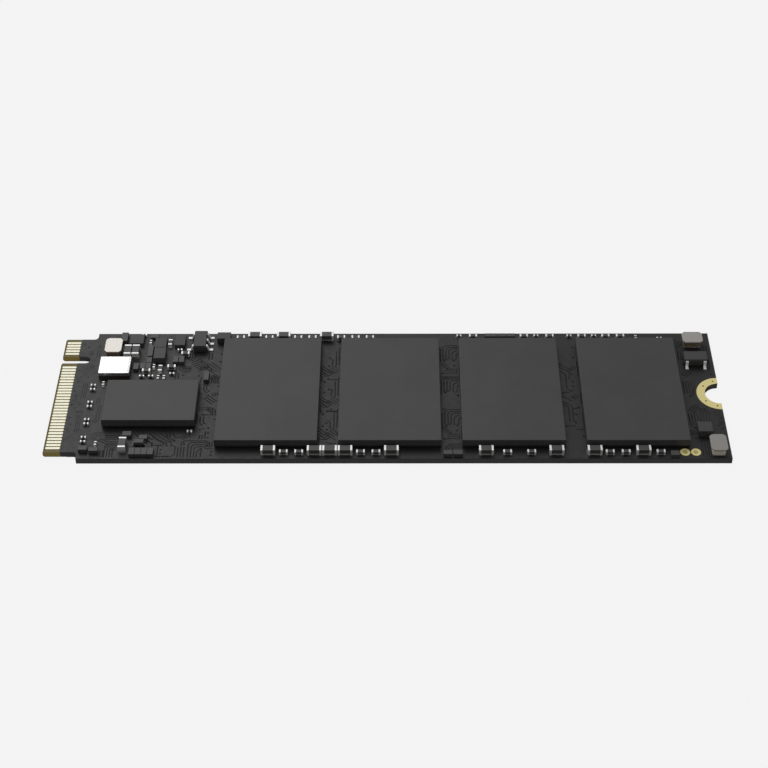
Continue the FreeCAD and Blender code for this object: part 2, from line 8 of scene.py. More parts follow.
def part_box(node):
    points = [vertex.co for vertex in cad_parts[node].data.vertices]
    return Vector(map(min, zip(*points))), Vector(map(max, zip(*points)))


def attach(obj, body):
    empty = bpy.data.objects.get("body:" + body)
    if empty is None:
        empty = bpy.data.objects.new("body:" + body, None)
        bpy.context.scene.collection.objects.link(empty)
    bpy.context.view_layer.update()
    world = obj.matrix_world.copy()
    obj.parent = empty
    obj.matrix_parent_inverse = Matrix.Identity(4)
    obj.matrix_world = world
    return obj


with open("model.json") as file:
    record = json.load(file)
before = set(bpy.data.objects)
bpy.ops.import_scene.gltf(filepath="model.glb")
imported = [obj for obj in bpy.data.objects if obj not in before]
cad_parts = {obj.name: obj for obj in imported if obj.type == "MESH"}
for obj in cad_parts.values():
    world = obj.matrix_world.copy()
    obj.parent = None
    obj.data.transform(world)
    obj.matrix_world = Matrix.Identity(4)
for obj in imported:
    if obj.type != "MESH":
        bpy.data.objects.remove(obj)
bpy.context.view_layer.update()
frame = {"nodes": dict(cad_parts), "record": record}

# Looks for a bare M.2 solid state drive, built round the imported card. Lengths are in metres, in the row
# frame. Places on the card are in millimetres, as (distance from the connector's edge, distance from the
# centre line), and card() turns them into the row frame.

MM = 0.001
CARD_LOW, CARD_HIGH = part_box("circuit_board")
MASK_LOW, MASK_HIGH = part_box("solder_mask_top")
UNDER_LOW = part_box("solder_mask_bottom")[0]
LAND_LOW, LAND_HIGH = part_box("mounting_land_top")
CARD_LENGTH = (CARD_HIGH.x - CARD_LOW.x) / MM
CARD_WIDTH = (CARD_HIGH.y - CARD_LOW.y) / MM
PAD_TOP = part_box("test_pads")[1].z
TOP = MASK_HIGH.z
UNDERSIDE = UNDER_LOW.z
CONTACTS_END = (MASK_LOW.x - CARD_LOW.x) / MM
UNDER_CONTACTS_END = (UNDER_LOW.x - CARD_LOW.x) / MM

# The land is a half ring at the card's end, so it is as long as its radius.
LAND_RADIUS = (LAND_HIGH.x - LAND_LOW.x) / MM

# Tongue and key notch, where no trace may run
TONGUE_LENGTH = 4.0
TONGUE_HALF = 9.92
KEY_DEPTH = 3.5
KEY_LOW, KEY_HIGH = 5.52, 6.73


def card(x, y, z):
    """A point in the row frame from a place on the card in mm and a height in metres."""
    return Vector((CARD_LOW.x + x * MM, y * MM, z))


# ---------------------------------------------------------------- materials


class Finish:
    """A Principled material with its nodes, in the object's own coordinates."""

    def __init__(self, name, color, roughness, metallic=0.0, specular=0.5):
        self.material = bpy.data.materials.new(name)
        self.material.use_nodes = True
        self.tree = self.material.node_tree
        self.shader = self.tree.nodes["Principled BSDF"]
        self.shader.inputs["Base Color"].default_value = (*color, 1)
        self.shader.inputs["Roughness"].default_value = roughness
        self.shader.inputs["Metallic"].default_value = metallic
        self.shader.inputs["Specular IOR Level"].default_value = specular
        self.place = self.tree.nodes.new("ShaderNodeTexCoord").outputs["Object"]

    def add(self, kind, **inputs):
        """A new node with its inputs set to values or joined to sockets."""
        node = self.tree.nodes.new(kind)
        for key, value in inputs.items():
            self.feed(node.inputs[key.replace("_", " ")], value)
        return node

    def feed(self, socket, value):
        if isinstance(value, bpy.types.NodeSocket):
            self.tree.links.new(value, socket)
        else:
            socket.default_value = value

    def math(self, operation, a, b=0.0, c=0.0):
        node = self.tree.nodes.new("ShaderNodeMath")
        node.operation = operation
        for socket, value in zip(node.inputs, (a, b, c)):
            self.feed(socket, value)
        return node.outputs[0]

    def scaled(self, scale):
        """Object coordinates stretched by a factor along each axis."""
        node = self.add("ShaderNodeMapping", Vector=self.place)
        node.inputs["Scale"].default_value = scale
        return node.outputs["Vector"]

    def noise(self, size, detail=3.0, rough=0.6, place=None):
        """Noise from 0 to 1 whose features are about size across, in metres."""
        node = self.add("ShaderNodeTexNoise", Vector=place or self.place, Scale=1 / size, Detail=detail)
        node.inputs["Roughness"].default_value = rough
        return node.outputs["Fac"]

    def ramp(self, value, low, high, out_low=0.0, out_high=1.0):
        node = self.tree.nodes.new("ShaderNodeMapRange")
        for socket, number in zip(node.inputs, (value, low, high, out_low, out_high)):
            self.feed(socket, number)
        return node.outputs[0]

    def mix(self, share, a, b):
        """Colour a where share is 0 and colour b where it is 1."""
        node = self.tree.nodes.new("ShaderNodeMix")
        node.data_type = "RGBA"
        self.feed(node.inputs["Factor"], share)
        self.feed(node.inputs["A"], (*a, 1) if isinstance(a, tuple) else a)
        self.feed(node.inputs["B"], (*b, 1) if isinstance(b, tuple) else b)
        return node.outputs["Result"]

    def paint(self, color):
        self.feed(self.shader.inputs["Base Color"], color)
        return self

    def rough(self, value):
        self.feed(self.shader.inputs["Roughness"], value)
        return self

    def bump(self, height, depth, strength=1.0):
        """Surface relief: height from 0 to 1 stands for depth metres."""
        node = self.add("ShaderNodeBump", Height=height, Distance=depth, Strength=strength)
        self.feed(self.shader.inputs["Normal"], node.outputs["Normal"])
        return self

    def axis(self, letter):
        node = self.add("ShaderNodeSeparateXYZ", Vector=self.place)
        return node.outputs[letter]


def edge_highlight_share(finish, radius):
    """About 1 on convex edges and 0 elsewhere, from the bevelled normal: where a painted edge highlight goes.
    """
    bevel = finish.add("ShaderNodeBevel", Radius=radius)
    geometry = finish.add("ShaderNodeNewGeometry")
    dot = finish.tree.nodes.new("ShaderNodeVectorMath")
    dot.operation = "DOT_PRODUCT"
    finish.feed(dot.inputs[0], bevel.outputs["Normal"])
    finish.feed(dot.inputs[1], geometry.outputs["Normal"])
    return finish.ramp(dot.outputs["Value"], 0.995, 0.8)


def make_mask(name, tone, specular):
    finish = Finish(name, (tone, tone, tone), 0.4, specular=specular)
    cloud = finish.noise(2.5 * MM, 4)
    low, high = 0.8 * tone, 1.3 * tone
    finish.paint(finish.mix(cloud, (low, low, low), (high, high, high)))
    finish.rough(finish.ramp(finish.noise(0.5 * MM, 4), 0.3, 0.7, 0.38, 0.5))
    finish.bump(finish.noise(0.12 * MM, 2), 0.002 * MM, 0.6)
    return finish.material


# How far the olive resin reaches under the mask's edge, and half the length over which it turns black
OLIVE_REACH = 0.05 * MM
OLIVE_FADE = 0.02 * MM


def make_laminate():
    """Olive resin over glass cloth by the contacts, nearly black from there on, with layered edges."""
    finish = Finish("laminate", (0.15, 0.12, 0.035), 0.5)
    x = finish.axis("X")
    start = MASK_LOW.x + OLIVE_REACH
    covered = finish.ramp(x, start - OLIVE_FADE, start + OLIVE_FADE)
    normal = finish.add("ShaderNodeNewGeometry").outputs["Normal"]
    level = finish.math("ABSOLUTE", finish.add("ShaderNodeSeparateXYZ", Vector=normal).outputs["Z"])
    face = finish.ramp(level, 0.2, 0.6)
    weave = finish.noise(0.35 * MM, 3, 0.6, finish.scaled((1, 1, 9)))
    olive_face = finish.mix(weave, (0.12, 0.09, 0.015), (0.2, 0.15, 0.03))
    olive_edge = finish.mix(weave, (0.45, 0.34, 0.1), (0.68, 0.53, 0.18))
    black_face = finish.mix(weave, (0.012, 0.012, 0.012), (0.02, 0.02, 0.02))
    black_edge = finish.mix(weave, (0.085, 0.085, 0.085), (0.145, 0.145, 0.145))
    edge = finish.mix(covered, olive_edge, black_edge)
    finish.paint(finish.mix(face, edge, finish.mix(covered, olive_face, black_face)))
    finish.rough(finish.ramp(weave, 0.3, 0.7, 0.42, 0.6))
    finish.bump(weave, 0.006 * MM, 0.5)
    return finish.material


def make_gold(name, pale, deep, roughness, grain, metallic=1.0, level=None, relief=0.5):
    """Plated gold with a fine grain, with painted shade below a level. Relief is the strength of its bump."""
    finish = Finish(name, pale, roughness, metallic)
    speckle = finish.noise(grain, 4, 0.7)
    plating = finish.mix(finish.ramp(speckle, 0.35, 0.7), pale, deep)
    # Painted shade: below the level (the test pads' top face) the gold is painted darker, in the pads'
    # hollows and on their sides.
    if level:
        below = finish.ramp(finish.axis("Z"), level - 0.002 * MM, level - 0.014 * MM)
        plating = finish.mix(below, plating, tuple(c * 0.6 for c in deep))
    finish.paint(plating)
    finish.rough(finish.ramp(speckle, 0.3, 0.7, roughness - 0.06, roughness + 0.1))
    finish.bump(speckle, 0.004 * MM, relief)
    return finish.material


def make_mould(name, color, roughness, specular=0.5):
    """Epoxy mould: a matt dark body with a very fine filler speckle and a painted highlight on its edges."""
    finish = Finish(name, color, roughness, specular=specular)
    filler = finish.noise(0.05 * MM, 3, 0.7)
    cloud = finish.noise(4 * MM, 3)
    low = tuple(c * 0.86 for c in color)
    high = tuple(c * 1.16 for c in color)
    tone = finish.math("ADD", finish.math("MULTIPLY", filler, 0.6), finish.math("MULTIPLY", cloud, 0.4))
    body = finish.mix(finish.ramp(tone, 0.35, 0.65), low, high)
    # Painted highlight: the edges are painted paler to stand for the light they catch.
    painted_edge_highlight = finish.math("MULTIPLY", edge_highlight_share(finish, 0.04 * MM), 0.5)
    finish.paint(finish.mix(painted_edge_highlight, body, tuple(c * 1.9 for c in color)))
    finish.rough(finish.ramp(filler, 0.3, 0.7, roughness - 0.05, roughness + 0.07))
    finish.bump(filler, 0.003 * MM, 0.5)
    return finish.material


def make_metal(name, bright, dull, roughness, grain, metallic=1.0):
    finish = Finish(name, bright, roughness, metallic)
    patches = finish.noise(grain, 4, 0.65)
    finish.paint(finish.mix(finish.ramp(patches, 0.4, 0.75), bright, dull))
    finish.rough(finish.ramp(patches, 0.3, 0.7, roughness - 0.08, roughness + 0.1))
    finish.bump(patches, 0.004 * MM, 0.4)
    return finish.material


def make_ceramic(name, low, high, roughness, grain, reflection_strip=None):
    """Fired ceramic with a fine speckle. A reflection strip is (height in mm, colour of the body below it), a
    painted reflection.
    """
    finish = Finish(name, high, roughness)
    speckle = finish.noise(grain, 3, 0.7)
    body = finish.mix(finish.ramp(speckle, 0.35, 0.7), low, high)
    # Painted reflection: the body below the given height is painted pale, standing for the lit board mirrored
    # in its low front face.
    if reflection_strip:
        height, pale = reflection_strip
        below = finish.ramp(finish.axis("Z"), TOP + height * MM, TOP + (height - 0.06) * MM)
        body = finish.mix(below, body, pale)
    finish.paint(body)
    finish.rough(finish.ramp(speckle, 0.3, 0.7, roughness - 0.05, roughness + 0.08))
    finish.bump(speckle, 0.004 * MM, 0.4)
    return finish.material


def make_winding(name, low, high):
    """Resin-coated copper turns, seen as fine level bands."""
    finish = Finish(name, high, 0.35)
    bands = finish.add("ShaderNodeTexWave", Vector=finish.place, Scale=1 / (0.62 * MM), Distortion=1.5)
    bands.bands_direction = "Z"
    finish.paint(finish.mix(bands.outputs["Fac"], low, high))
    finish.rough(finish.ramp(finish.noise(0.2 * MM), 0.3, 0.7, 0.25, 0.45))
    finish.bump(bands.outputs["Fac"], 0.012 * MM, 0.7)
    return finish.material


CHIP_TONES = (0.05, 0.049, 0.049), (0.075, 0.073, 0.072)
LAND_TONES = (1.0, 0.89, 0.4), (0.93, 0.8, 0.33)
# Painted reflection: pale strips at the foot of a capacitor's body, standing for the lit board mirrored low
# on its front face: (height in mm, colour)
LARGE_PAINTED_REFLECTION = 0.32, (0.32, 0.31, 0.3)
MEDIUM_PAINTED_REFLECTION = 0.17, (0.3, 0.29, 0.28)

FINISHES = {
    "solder_mask": make_mask("black_solder_mask", 0.01, 0.5),
    # Painted shade: the ridges and vias get a darker copy of the mask so the relief lines read dark.
    "shaded_ridge_mask": make_mask("shaded_ridge_mask", 0.006, 0.3),
    "laminate": make_laminate(),
    "gold": make_gold("contact_gold", (0.6, 0.585, 0.47), (0.575, 0.55, 0.43), 0.32, 0.12 * MM, relief=0.2),
    "land_gold": make_gold("land_gold", *LAND_TONES, 0.42, 0.09 * MM, 0.25),
    # The test pads' gold carries painted shade below their top face.
    "pad_gold": make_gold("pad_gold", *LAND_TONES, 0.42, 0.09 * MM, 0.25, PAD_TOP),
    "mould": make_mould("mould", (0.055, 0.055, 0.055), 0.45, 0.41),
    "substrate": make_mould("package_substrate", (0.02, 0.024, 0.021), 0.45),
    "chip_body": make_ceramic("chip_ceramic", *CHIP_TONES, 0.4, 0.06 * MM),
    "large_ceramic": make_ceramic("large_ceramic", *CHIP_TONES, 0.4, 0.06 * MM, LARGE_PAINTED_REFLECTION),
    "medium_ceramic": make_ceramic("medium_ceramic", *CHIP_TONES, 0.4, 0.06 * MM, MEDIUM_PAINTED_REFLECTION),
    "silicon": make_metal("silicon", (0.3, 0.31, 0.34), (0.22, 0.23, 0.26), 0.2, 0.4 * MM),
    "solder": make_metal("solder", (0.6, 0.6, 0.59), (0.4, 0.4, 0.4), 0.32, 0.1 * MM),
    "tin_plating": make_metal("tin_plating", (0.95, 0.95, 0.94), (0.84, 0.84, 0.83), 0.38, 0.08 * MM, 0.5),
    "bright_tin": make_metal("bright_tin", (0.97, 0.97, 0.96), (0.9, 0.9, 0.89), 0.4, 0.08 * MM, 0.3),
    # Painted shade: a dark copy of tin for the supervisor's leads, which sit in shade.
    "shaded_tin": make_metal("shaded_tin", (0.3, 0.3, 0.3), (0.2, 0.2, 0.2), 0.45, 0.08 * MM),
    "dark_ceramic": make_ceramic("dark_ceramic", (0.03, 0.026, 0.022), (0.06, 0.05, 0.042), 0.4, 0.1 * MM),
    "lid_metal": make_metal("lid_metal", (0.93, 0.93, 0.92), (0.84, 0.84, 0.83), 0.36, 0.3 * MM),
    "quartz": make_ceramic("quartz", (0.7, 0.72, 0.72), (0.85, 0.87, 0.88), 0.2, 0.5 * MM),
    "ferrite": make_ceramic("ferrite", (0.3, 0.285, 0.265), (0.37, 0.355, 0.33), 0.45, 0.1 * MM),
    "bright_ferrite": make_metal("bright_ferrite", (0.64, 0.61, 0.57), (0.54, 0.51, 0.47), 0.42, 0.1 * MM),
    "mid_ferrite": make_ceramic("mid_ferrite", (0.38, 0.365, 0.34), (0.46, 0.445, 0.415), 0.45, 0.1 * MM),
    "winding": make_winding("coil_resin", (0.1, 0.075, 0.045), (0.24, 0.18, 0.11)),
    "pale_winding": make_winding("pale_coil_resin", (0.78, 0.68, 0.55), (0.95, 0.85, 0.7)),
}
NODE_FINISH = {
    "mounting_land_top": "land_gold",
    "mounting_land_bottom": "land_gold",
    "test_pads": "pad_gold",
    "inductor_1_core": "bright_ferrite",
    "inductor_2_core": "mid_ferrite",
    "inductor_3_winding": "pale_winding",
    "regulator_leads": "bright_tin",
    "load_switch_leads": "bright_tin",
    "large_capacitor_bodies": "large_ceramic",
    "medium_capacitor_bodies": "medium_ceramic",
    "supervisor_body": "chip_body",
    "supervisor_leads": "shaded_tin",
}


def dress_nodes():
    """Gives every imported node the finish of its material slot."""
    for row in frame["record"]["subparts"]:
        node = row["node"]
        obj = frame["nodes"][node]
        obj.data.materials.clear()
        obj.data.materials.append(FINISHES[NODE_FINISH.get(node, row["material_slot"])])


# ---------------------------------------------------------------- traces and vias

# Fine ridges that the copper pattern raises in the mask. Each line is a row of places on the card in mm.
RIDGE_HALF = 0.085
RIDGE_CREST = 0.02
RIDGE_HEIGHT = 0.034
GAP_RIDGE_HEIGHT = 0.027
FAINT_RIDGE_HEIGHT = 0.02
UNDER_RIDGE_HEIGHT = 0.014
VIA_RADIUS = 0.15
VIA_SLOPE = 0.05
VIA_HOLE = 0.05
VIA_RIM = 0.03
VIA_SIDES = 14
# Depth of a ridge's foot in the mask, and height of a via's floor, as shares of the ridge's height
SINK = 0.2
DIMPLE = 0.2
EDGE_MARGIN = 0.22
PAD_MARGIN = 0.2
STEP = 0.1

# Bundles of parallel lines on the component side: (lines, pitch, points of the first line). The others follow
# on its right-hand side. The first ones are the faint bundles in the margin beside the connector.
MARGIN_BUNDLES = (
    (3, 0.24, ((3.24, -0.8), (3.24, 1.9))),
    (3, 0.24, ((3.2, -6.5), (3.2, -3.6))),
    (2, 0.26, ((4.0, 4.78), (3.38, 5.4), (3.38, 7.9))),
    (5, 0.34, ((3.3, 5.3), (4.7, 3.9))),
    (4, 0.34, ((2.45, -0.75), (3.55, -1.85))),
    (2, 0.3, ((2.9, -3.0), (3.9, -3.0))),
    (3, 0.34, ((3.95, -7.3), (3.1, -6.45))),
    (2, 0.28, ((4.2, 6.6), (4.2, 8.5))),
    (2, 0.3, ((5.2, -4.8), (5.5, -4.5), (5.5, -2.3), (5.2, -1.9), (5.2, -0.9))),
    (3, 0.3, ((5.3, -7.9), (5.3, -7.0), (5.65, -6.65), (6.5, -6.65))),
)
TOP_BUNDLES = (
    # corner in front of the controller
    (4, 0.32, ((7.2, -10.8), (7.2, -8.95), (7.6, -8.55), (8.5, -8.55))),
    (2, 0.3, ((6.75, -10.8), (6.75, -9.6))),
    (3, 0.3, ((7.0, -7.15), (8.75, -7.15))),
    (2, 0.34, ((6.4, -7.6), (7.3, -8.2), (8.6, -8.2))),
    (3, 0.36, ((10.6, -6.0), (11.5, -6.9))),
    (1, 0.3, ((13.45, -6.15), (14.2, -6.95), (14.35, -7.4))),
    (1, 0.3, ((12.1, -6.75), (13.4, -7.9), (14.3, -8.35), (14.35, -8.8))),
    (1, 0.3, ((12.55, -6.6), (13.6, -7.6), (14.75, -8.3))),
    (1, 0.3, ((13.0, -6.45), (14.5, -7.75), (14.9, -8.3), (14.9, -8.9))),
    (1, 0.3, ((12.5, -7.3), (13.2, -7.9), (14.0, -8.5))),
    (3, 0.35, ((15.74, -10.85), (15.74, -9.1))),
    (1, 0.3, ((15.0, -8.75), (15.4, -9.1), (15.4, -10.3), (15.05, -10.62))),
    (1, 0.3, ((14.95, -6.8), (15.05, -7.2), (15.25, -7.5), (15.95, -7.5), (16.7, -6.9))),
    (1, 0.3, ((16.05, -7.8), (16.9, -7.2), (17.05, -7.4))),
    (1, 0.3, ((16.07, -8.85), (16.07, -8.35), (16.4, -8.05), (18.9, -8.05), (19.35, -8.5), (19.4, -9.1))),
    (1, 0.3, ((16.9, -10.85), (16.9, -8.65), (17.15, -8.33), (18.8, -8.33), (19.1, -8.6), (19.12, -9.0))),
    (1, 0.3, ((17.28, -10.85), (17.28, -9.0), (17.55, -8.68), (18.7, -8.68), (19.0, -8.9))),
    (1, 0.3, ((17.64, -10.85), (17.64, -9.3), (17.9, -9.02), (18.6, -9.02), (19.0, -9.34), (19.85, -9.34))),
    (1, 0.3, ((17.96, -10.85), (17.96, -9.9), (18.2, -9.5), (18.45, -9.4))),
    (1, 0.3, ((18.43, -10.85), (18.43, -9.8), (18.6, -9.6))),
    (1, 0.3, ((14.6, -6.7), (14.6, -7.4), (14.85, -7.75), (15.1, -7.95))),
    (1, 0.3, ((12.65, -8.8), (13.75, -8.8))),
    (1, 0.3, ((13.38, -8.85), (13.38, -10.62))),
    (1, 0.3, ((13.25, -10.65), (14.95, -10.65))),
    (1, 0.3, ((12.1, -7.55), (12.55, -7.8))),
    (1, 0.3, ((12.1, -8.1), (12.6, -8.5), (12.65, -8.8))),
    (2, 0.33, ((18.05, -7.75), (18.05, -7.1))),
    (1, 0.3, ((18.72, -6.5), (18.72, -7.7))),
    (2, 0.3, ((19.6, -8.2), (19.68, -9.1))),
    # between the oscillator's neighbours and the first flash package
    (6, 0.35, ((16.0, 5.45), (17.2, 6.4))),
    (2, 0.33, ((15.2, 5.15), (15.45, 4.85), (16.15, 4.85))),
    (3, 0.33, ((16.1, 3.95), (15.1, 3.95), (14.65, 4.4), (14.65, 4.9))),
    (2, 0.33, ((14.2, 3.95), (14.6, 3.5), (14.65, 2.7))),
    (3, 0.3, ((15.5, 6.2), (15.75, 6.5), (15.75, 7.3))),
    (2, 0.3, ((17.15, 4.78), (18.35, 4.7), (18.6, 4.2), (18.6, 3.9))),
    (4, 0.36, ((18.45, 5.65), (19.75, 4.4))),
    (2, 0.36, ((18.1, 6.2), (18.1, 7.4))),
    (4, 0.25, ((19.72, 3.1), (19.5, 2.75), (19.5, 2.1))),
    (3, 0.27, ((19.05, 2.2), (18.9, 2.6), (18.45, 2.8))),
    (1, 0.3, ((18.5, 1.95), (19.8, 1.95))),
    (1, 0.3, ((17.45, 2.95), (17.4, 2.2), (17.55, 1.0))),
    (2, 0.36, ((18.35, 0.15), (17.9, 0.7), (17.85, 1.8))),
    (3, 0.36, ((18.5, -0.25), (18.9, -0.6), (19.6, -1.25))),
    (3, 0.3, ((19.15, -0.45), (18.95, 0.1))),
    (2, 0.34, ((17.6, -2.45), (19.1, -2.45), (19.6, -2.95), (19.65, -3.5))),
    (3, 0.27, ((19.1, -3.4), (18.95, -3.05), (18.5, -2.8))),
    (1, 0.3, ((18.15, -3.65), (19.8, -3.65))),
    (2, 0.4, ((18.25, -5.45), (17.93, -5.1), (17.93, -4.0))),
    (1, 0.3, ((17.55, -3.5), (17.55, -5.1))),
    # screw end
    (5, 0.31, ((75.85, 0.1), (75.85, 2.2))),
    (1, 0.3, ((77.0, 0.9), (76.9, 0.0), (76.45, -0.4))),
    (3, 0.32, ((75.85, 6.0), (75.85, 7.8))),
    (4, 0.32, ((76.6, 9.3), (75.8, 8.1))),
    (3, 0.32, ((75.85, 3.4), (76.6, 4.1))),
    (3, 0.32, ((75.9, -3.0), (76.4, -2.3), (77.2, -2.0))),
    (4, 0.33, ((77.18, -4.7), (77.18, -3.2), (77.5, -2.75), (77.95, -2.55))),
    (1, 0.3, ((76.85, -4.6), (76.85, -3.6), (76.65, -3.1))),
    (3, 0.32, ((76.1, -5.6), (75.85, -5.2), (75.85, -3.4))),
    (4, 0.3, ((78.9, -3.75), (78.9, -3.0))),
    (3, 0.34, ((75.9, -6.2), (76.4, -6.8))),
    (4, 0.31, ((76.7, -10.8), (76.7, -8.4))),
    (2, 0.3, ((79.6, -5.4), (79.3, -5.1), (79.3, -4.3))),
    (2, 0.3, ((79.45, 8.6), (79.45, 4.5), (79.2, 4.2))),
)
# Bundles that repeat between two flash packages: (shifts along Y, bundles)
TOP_REPEATS = (
    ((0.0, -5.5, -11.0), (
        (1, 0.3, ((33.78, 7.65), (33.78, 4.95))),
        (1, 0.3, ((34.25, 8.35), (34.14, 8.1), (34.14, 5.2))),
        (1, 0.3, ((33.0, 6.45), (33.35, 6.1), (33.35, 5.0))),
        (4, 0.36, ((33.5, 4.95), (34.3, 4.25))),
        (3, 0.36, ((32.15, 4.95), (33.35, 3.85))),
        (1, 0.3, ((32.12, 3.6), (32.12, 2.45), (32.45, 2.1))),
        (1, 0.3, ((32.9, 2.65), (33.3, 2.5), (34.2, 2.5))),
        (1, 0.3, ((32.35, 3.2), (32.95, 3.15), (33.3, 3.5))),
    )),
    ((0.0, -5.75, -11.5), (
        (1, 0.3, ((48.75, 8.72), (47.3, 8.72), (46.93, 8.35), (46.93, 6.0))),
        (1, 0.3, ((48.75, 8.42), (47.6, 8.42), (47.3, 8.1), (47.3, 6.3), (47.1, 6.0))),
        (1, 0.3, ((48.75, 8.12), (47.95, 8.12), (47.65, 7.8), (47.65, 6.4), (47.4, 6.1))),
        (1, 0.3, ((48.6, 7.75), (48.25, 7.6), (48.0, 7.3), (48.0, 6.1))),
        (1, 0.3, ((48.85, 7.35), (48.52, 7.05), (48.5, 6.2), (48.25, 5.95))),
        (1, 0.3, ((46.62, 8.2), (46.62, 5.6))),
    )),
    ((0.0, -11.35), (
        (2, 0.34, ((47.15, 4.42), (48.35, 4.42))),
        (4, 0.34, ((46.55, 5.2), (47.05, 5.6))),
        (1, 0.3, ((48.5, 4.45), (48.5, 3.65))),
        (1, 0.3, ((48.8, 5.0), (48.8, 3.7))),
        (1, 0.3, ((47.1, 3.68), (48.35, 3.68))),
    )),
    ((0.0,), (
        (2, 0.3, ((46.6, 3.02), (48.85, 3.02))),
        (3, 0.32, ((47.0, -9.6), (47.0, -9.05), (47.45, -8.6), (48.9, -8.6))),
        (1, 0.3, ((33.1, -7.3), (33.4, -7.38), (34.05, -7.95))),
        (1, 0.3, ((33.0, -3.12), (34.2, -3.15))),
        (1, 0.3, ((61.05, 5.3), (62.1, 4.5), (62.3, 4.4))),
        (1, 0.3, ((61.05, 4.75), (62.15, 3.9), (62.15, 2.6))),
        (1, 0.3, ((61.05, 4.05), (61.75, 3.4), (61.75, 0.95), (62.2, 0.5))),
        (1, 0.3, ((61.25, 0.15), (61.4, 0.25), (62.1, 0.25))),
        (1, 0.3, ((61.05, -0.4), (62.15, -1.3))),
        (1, 0.3, ((61.05, -1.35), (62.1, -2.2), (62.13, -4.7), (62.35, -4.95))),
        (1, 0.3, ((61.05, -1.8), (61.7, -2.4), (61.7, -4.85))),
        (1, 0.3, ((61.2, -5.55), (62.3, -5.6))),
        (1, 0.3, ((62.15, -2.65), (62.8, -2.5))),
        (1, 0.3, ((62.15, -3.3), (62.55, -3.6))),
        (1, 0.3, ((62.3, -6.1), (63.25, -6.2))),
        (4, 0.3, ((62.6, 4.9), (63.05, 4.5))),
        (3, 0.3, ((62.55, -0.15), (63.05, -0.6))),
        (1, 0.3, ((63.2, 5.8), (63.2, 3.1))),
        (1, 0.3, ((63.22, 0.2), (63.22, -1.7))),
        (1, 0.3, ((63.22, -3.4), (63.22, -5.9))),
    )),
)
MARGIN_VIAS = (
    (2.35, 0.5), (2.6, -0.35), (2.35, -1.9), (2.75, -2.5), (2.4, -4.1), (2.6, -5.2), (2.35, -6.1),
    (2.7, -7.4), (2.5, 2.2), (2.8, 3.1), (2.4, 4.2), (3.0, 8.5), (4.35, 8.75), (2.5, 9.1),
)
TOP_VIAS = (
    (14.32, -7.42), (14.0, -8.52), (14.35, -8.85), (12.15, -7.55), (12.58, -7.8), (12.15, -8.12),
    (12.62, -8.5), (13.35, -8.8), (13.76, -8.8), (13.75, -9.5), (13.75, -10.15), (15.2, -8.05),
    (16.38, -8.58), (18.42, -9.4), (13.25, -10.65), (13.7, -10.62), (14.1, -10.65), (14.55, -10.6),
    (19.0, -8.92), (19.65, -9.85), (19.63, -10.4), (18.05, -6.2), (18.42, -6.0), (19.0, -5.9),
    (19.05, -6.8), (19.05, -7.5), (12.62, -8.85), (15.1, -7.95), (15.2, 3.3), (18.5, -0.27),
    (18.2, -3.62), (19.6, -4.4), (19.6, 1.3), (19.6, 7.2), (19.6, 5.8), (18.0, 5.3), (14.35, 5.0),
    (17.15, 3.2), (17.25, 5.7), (33.0, 6.45), (32.55, 4.1), (32.5, 3.6), (32.5, 2.1), (32.9, 2.65),
    (33.4, 3.85), (32.95, 4.9), (33.0, 0.75), (33.4, 0.7), (32.5, 0.2), (32.5, -1.4), (32.5, -1.9),
    (32.5, -3.6), (32.9, -3.12), (32.9, -5.1), (32.5, -5.6), (33.0, -6.2), (33.4, -2.7), (34.15, 6.4),
    (34.2, -7.0), (47.08, 5.95), (48.25, 5.05), (46.85, 3.65), (47.08, 0.2), (48.55, -0.3),
    (46.85, -2.7), (47.08, -5.6), (48.3, -6.35), (46.85, -7.75), (48.6, -0.35), (48.2, 5.9),
    (62.4, 4.35), (62.45, 3.45), (62.55, 2.1), (61.2, 0.1), (62.3, 0.5), (62.3, -0.6), (61.25, -5.6),
    (62.6, -3.62), (62.4, -5.0), (62.9, -2.45), (62.5, 1.3), (63.1, -7.3), (62.9, 6.5), (62.9, 8.4),
    (76.3, 5.2), (76.45, -0.45), (76.3, -5.85), (79.6, -4.2), (79.2, -5.5), (79.5, -6.0), (76.2, -7.6),
    (79.4, 3.4),
)

# The pattern on the underside is invented: one tile, repeated in steps of TILE mm from TILE_START.
TILE = (29.9, 5.77)
TILE_START = (11.0, -6.5)
TILE_COLUMNS = range(-1, 3)
TILE_ROWS = range(-1, 4)
UNDER_BUNDLES = (
    (4, 0.34, ((0.5, -2.3), (0.5, 0.4), (1.3, 1.2), (6.0, 1.2), (7.1, 2.3), (11.5, 2.3))),
    (3, 0.34, ((2.6, -2.0), (3.6, -1.0), (9.2, -1.0), (10.3, -2.1), (14.0, -2.1))),
    (6, 0.34, ((12.6, 1.9), (14.3, 0.2), (18.6, 0.2), (19.6, -0.8), (24.5, -0.8))),
    (3, 0.34, ((15.6, 2.4), (17.0, 2.4), (18.0, 1.4), (22.6, 1.4))),
    (2, 0.4, ((24.2, 2.5), (26.1, 0.6), (28.6, 0.6))),
    (3, 0.4, ((26.2, -2.4), (26.2, -0.9), (26.9, -0.2), (29.0, -0.2))),
)
UNDER_VIAS = (
    (2.0, 2.3), (3.1, 0.4), (5.2, 0.5), (8.4, 0.1), (10.9, 1.1), (12.0, -0.3), (14.9, -1.6),
    (17.4, -1.2), (20.6, 2.3), (22.9, 0.6), (25.1, -1.8), (27.6, 1.8), (28.9, -1.7), (7.4, -2.4),
    (4.4, 2.6), (20.2, -2.3),
)


def shifted(points, dx, dy):
    return [(x + dx, y + dy) for x, y in points]


